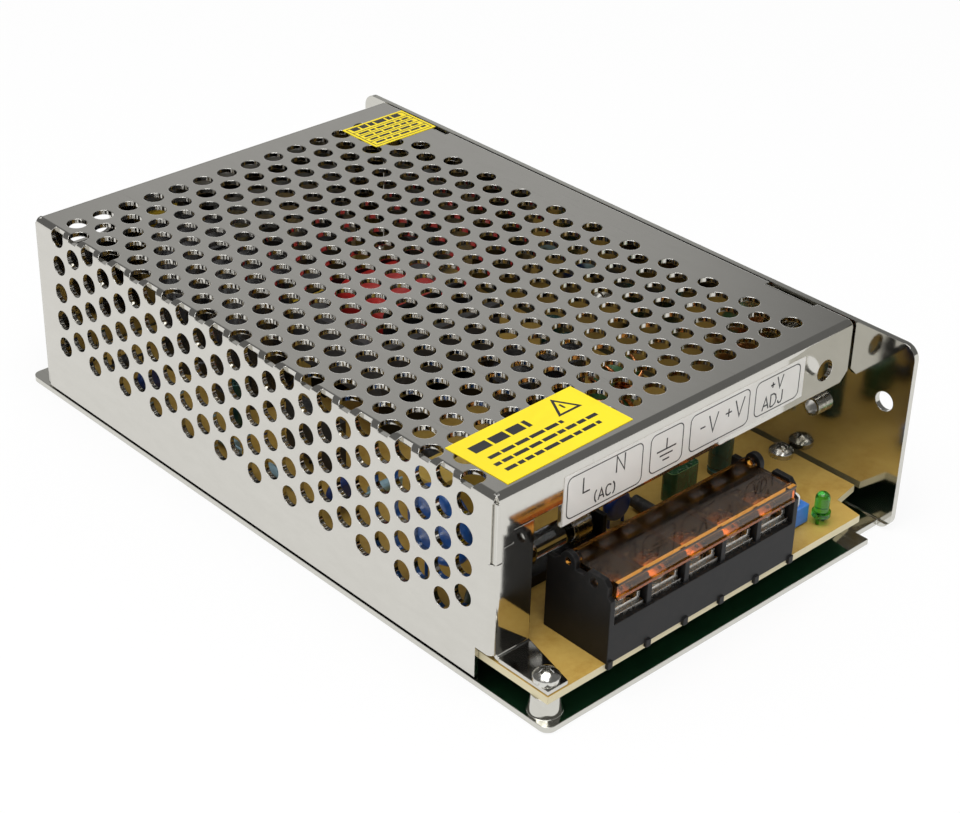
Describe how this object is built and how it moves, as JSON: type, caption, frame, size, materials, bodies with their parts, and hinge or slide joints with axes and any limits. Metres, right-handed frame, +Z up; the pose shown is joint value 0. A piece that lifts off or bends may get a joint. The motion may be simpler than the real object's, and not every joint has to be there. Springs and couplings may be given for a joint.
{
  "type": "mesh case switching power supply",
  "caption": "Enclosed power supply: perforated folded cover on an L-shaped chassis, circuit board with parts, screw terminal block with hinged clear cover.",
  "frame": {"origin": "centre of the floor's hole pattern, on the underside of the floor, which is the middle of the case's footprint", "axes": "+X right along the terminal face, -Y out of the terminal face, +Z up from the floor"},
  "size_m": [0.098, 0.1624, 0.0421],
  "materials": {
    "chassis_sheet": "polished",
    "cover_sheet": "satin",
    "screw_steel": "polished",
    "tin_plate": "polished",
    "board_laminate": "satin",
    "label_film": "matte",
    "yellow_film": "satin",
    "black_plastic": "matte",
    "amber_clear": "gloss",
    "blue_plastic": "satin",
    "white_plastic": "satin",
    "green_epoxy": "gloss",
    "clip_brass": "polished",
    "fuse_glass": "gloss",
    "cap_steel": "polished",
    "dark_disc": "satin",
    "blue_disc": "satin",
    "film_yellow": "satin",
    "ferrite": "matte",
    "copper": "satin",
    "red_tape": "satin",
    "yellow_tape": "satin",
    "sink_aluminium": "satin",
    "sleeve_black": "gloss",
    "sleeve_green": "gloss",
    "green_film": "gloss",
    "resistor_body": "satin",
    "core_green": "satin"
  },
  "bodies": {
    "case": {"chassis": "chassis_sheet", "cover": "cover_sheet", "cover_screws": "screw_steel", "side_nuts": "tin_plate", "board_screws": "screw_steel", "circuit_board": "board_laminate", "terminal_label": "label_film", "front_sticker": "yellow_film", "rear_sticker": "yellow_film", "terminal_block": "black_plastic", "contact_plates": "tin_plate", "trimmer_body": "blue_plastic", "indicator_led": "green_epoxy", "fuse_holder": "black_plastic", "fuse_clips": "clip_brass", "fuse_tube": "fuse_glass", "fuse_caps": "cap_steel", "inrush_thermistor": "dark_disc", "varistor": "blue_disc", "line_capacitor": "film_yellow", "line_choke_core": "ferrite", "line_choke_coils": "copper", "line_choke_bobbin": "black_plastic", "bridge_rectifier": "black_plastic", "bulk_capacitors": "sleeve_black", "primary_heatsink": "sink_aluminium", "switching_transistors": "black_plastic", "transformer_core": "ferrite", "transformer_winding": "red_tape", "transformer_bobbin": "black_plastic", "drive_transformer_core": "ferrite", "drive_transformer_coil": "yellow_tape", "drive_transformer_bobbin": "black_plastic", "output_heatsink": "sink_aluminium", "output_rectifier": "black_plastic", "output_choke_core": "core_green", "output_choke_coil": "copper", "output_capacitors": "sleeve_black", "small_capacitors": "sleeve_green", "disc_capacitors": "blue_disc", "film_capacitors": "green_film", "resistors": "resistor_body", "diodes": "black_plastic", "control_chip": "black_plastic"},
    "flap": {"terminal_cover": "amber_clear"},
    "adjuster": {"trimmer_rotor": "white_plastic"},
    "clamp_1": {"clamp_plate_1": "tin_plate"},
    "screw_1": {"terminal_screw_1": "screw_steel"},
    "clamp_2": {"clamp_plate_2": "tin_plate"},
    "screw_2": {"terminal_screw_2": "screw_steel"},
    "clamp_3": {"clamp_plate_3": "tin_plate"},
    "screw_3": {"terminal_screw_3": "screw_steel"},
    "clamp_4": {"clamp_plate_4": "tin_plate"},
    "screw_4": {"terminal_screw_4": "screw_steel"},
    "clamp_5": {"clamp_plate_5": "tin_plate"},
    "screw_5": {"terminal_screw_5": "screw_steel"}
  },
  "joints": [
    {"name": "cover_flip", "type": "hinge", "parent": "case", "child": "flap", "pos_m": [0, -0.0692, 0.0236], "axis": [-1, 0, 0], "range_deg": [0, 90]},
    {"name": "adjuster_turn", "type": "hinge", "parent": "case", "child": "adjuster", "pos_m": [0.026, -0.0714, 0.0112], "axis": [0, 0, 1], "range_deg": [-130, 130]},
    {"name": "clamp_lift_1", "type": "slide", "parent": "case", "child": "clamp_1", "axis": [0, 0, 1], "range_m": [0, 0.0024]},
    {"name": "screw_turn_1", "type": "hinge", "parent": "clamp_1", "child": "screw_1", "pos_m": [-0.02775, -0.0746, 0.017], "axis": [0, 0, 1], "range_deg": [0, 1440]},
    {"name": "clamp_lift_2", "type": "slide", "parent": "case", "child": "clamp_2", "axis": [0, 0, 1], "range_m": [0, 0.0024]},
    {"name": "screw_turn_2", "type": "hinge", "parent": "clamp_2", "child": "screw_2", "pos_m": [-0.0178, -0.0746, 0.017], "axis": [0, 0, 1], "range_deg": [0, 1440]},
    {"name": "clamp_lift_3", "type": "slide", "parent": "case", "child": "clamp_3", "axis": [0, 0, 1], "range_m": [0, 0.0024]},
    {"name": "screw_turn_3", "type": "hinge", "parent": "clamp_3", "child": "screw_3", "pos_m": [-0.00785, -0.0746, 0.017], "axis": [0, 0, 1], "range_deg": [0, 1440]},
    {"name": "clamp_lift_4", "type": "slide", "parent": "case", "child": "clamp_4", "axis": [0, 0, 1], "range_m": [0, 0.0024]},
    {"name": "screw_turn_4", "type": "hinge", "parent": "clamp_4", "child": "screw_4", "pos_m": [0.0021, -0.0746, 0.017], "axis": [0, 0, 1], "range_deg": [0, 1440]},
    {"name": "clamp_lift_5", "type": "slide", "parent": "case", "child": "clamp_5", "axis": [0, 0, 1], "range_m": [0, 0.0024]},
    {"name": "screw_turn_5", "type": "hinge", "parent": "clamp_5", "child": "screw_5", "pos_m": [0.01205, -0.0746, 0.017], "axis": [0, 0, 1], "range_deg": [0, 1440]}
  ],
  "couplings": [
    {"joint": "screw_turn_1", "follows": "clamp_lift_1", "rad_per_m": 10467},
    {"joint": "screw_turn_2", "follows": "clamp_lift_2", "rad_per_m": 10467},
    {"joint": "screw_turn_3", "follows": "clamp_lift_3", "rad_per_m": 10467},
    {"joint": "screw_turn_4", "follows": "clamp_lift_4", "rad_per_m": 10467},
    {"joint": "screw_turn_5", "follows": "clamp_lift_5", "rad_per_m": 10467}
  ]
}
